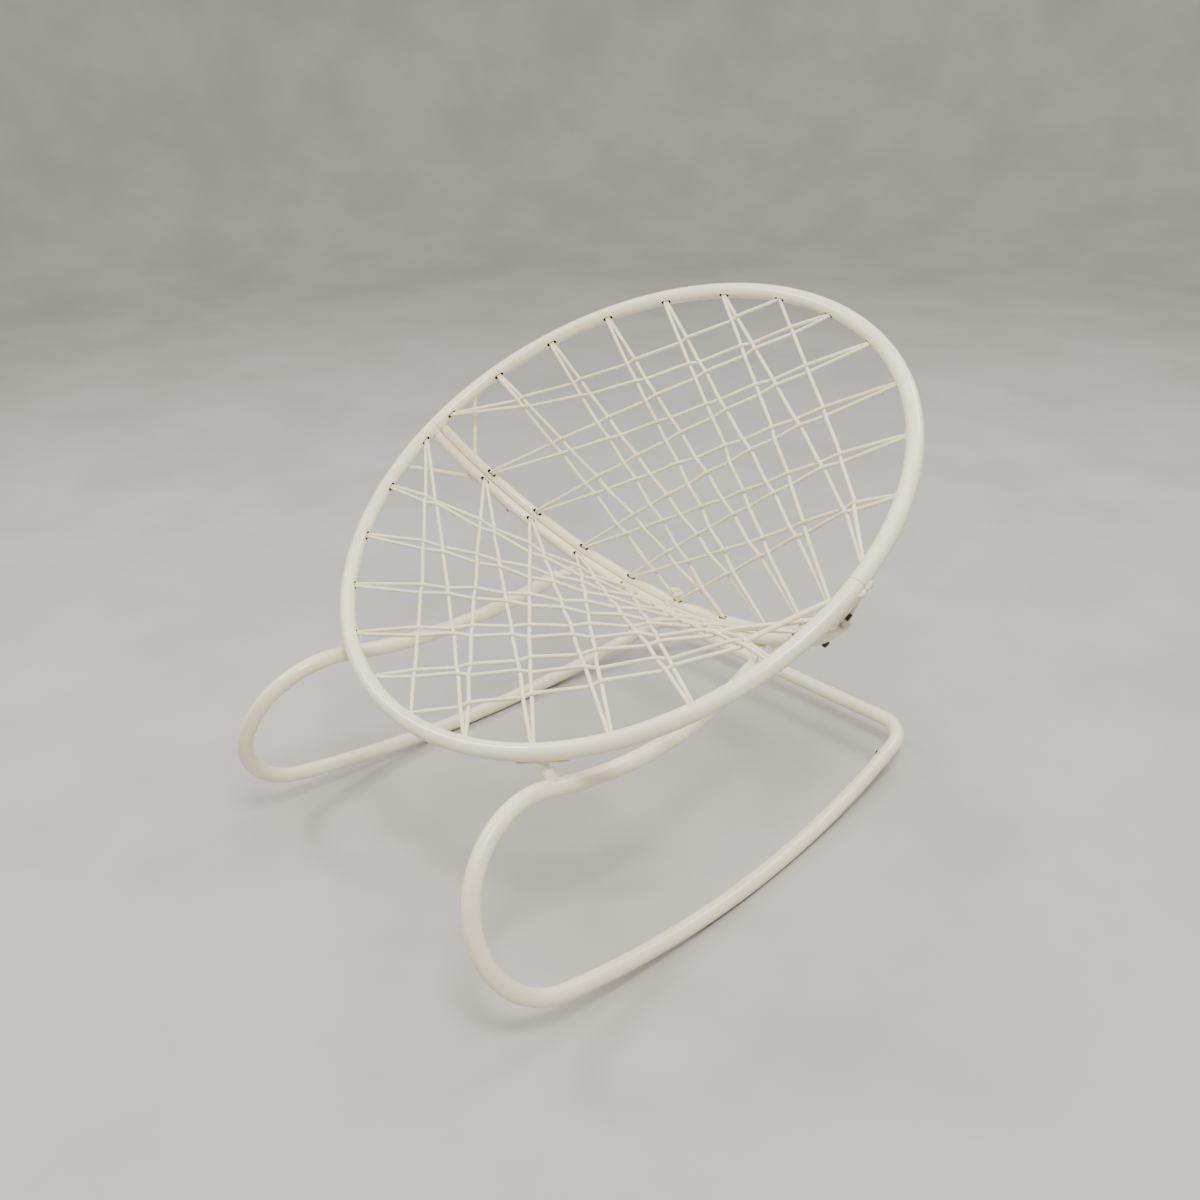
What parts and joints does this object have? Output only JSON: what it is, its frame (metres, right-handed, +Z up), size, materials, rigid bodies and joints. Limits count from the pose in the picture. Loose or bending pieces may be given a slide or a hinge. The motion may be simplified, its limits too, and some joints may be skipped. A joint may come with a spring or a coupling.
{
  "type": "camp rocking chair",
  "caption": "Round laced rocking chair: half hoops and bowed crossbars strung with cord, on bent tube rockers joined at the back by a stretcher.",
  "frame": {"origin": "middle of the footprint on the floor, below the seat", "axes": "+Z up, +Y towards the back of the chair, +X towards the sitter's left"},
  "size_m": [0.952, 0.959, 0.787],
  "materials": {
    "frame_paint": "satin",
    "fixing_steel": "matte",
    "lacing_cord": "matte"
  },
  "bodies": {
    "root": {"back_rim": "frame_paint", "back_crossbar": "frame_paint", "seat_rim": "frame_paint", "seat_crossbar": "frame_paint", "side_frame_left": "frame_paint", "side_frame_right": "frame_paint", "rear_stretcher": "frame_paint", "spigot_left": "frame_paint", "spigot_right": "frame_paint", "spigot_screws": "fixing_steel", "front_post_left": "frame_paint", "front_post_right": "frame_paint", "front_saddle_left": "frame_paint", "front_saddle_right": "frame_paint", "front_bolts": "fixing_steel", "arm_tongue_left": "frame_paint", "arm_tongue_right": "frame_paint", "tongue_bolts": "fixing_steel", "stay_left": "frame_paint", "stay_right": "frame_paint", "stay_bolts": "fixing_steel", "brace_back_left": "frame_paint", "brace_back_right": "frame_paint", "brace_seat_left": "frame_paint", "brace_seat_right": "frame_paint", "back_cord_a": "lacing_cord", "back_cord_b": "lacing_cord", "back_knot": "lacing_cord", "seat_cord_a": "lacing_cord", "seat_cord_b": "lacing_cord", "seat_knot": "lacing_cord"}
  },
  "joints": []
}
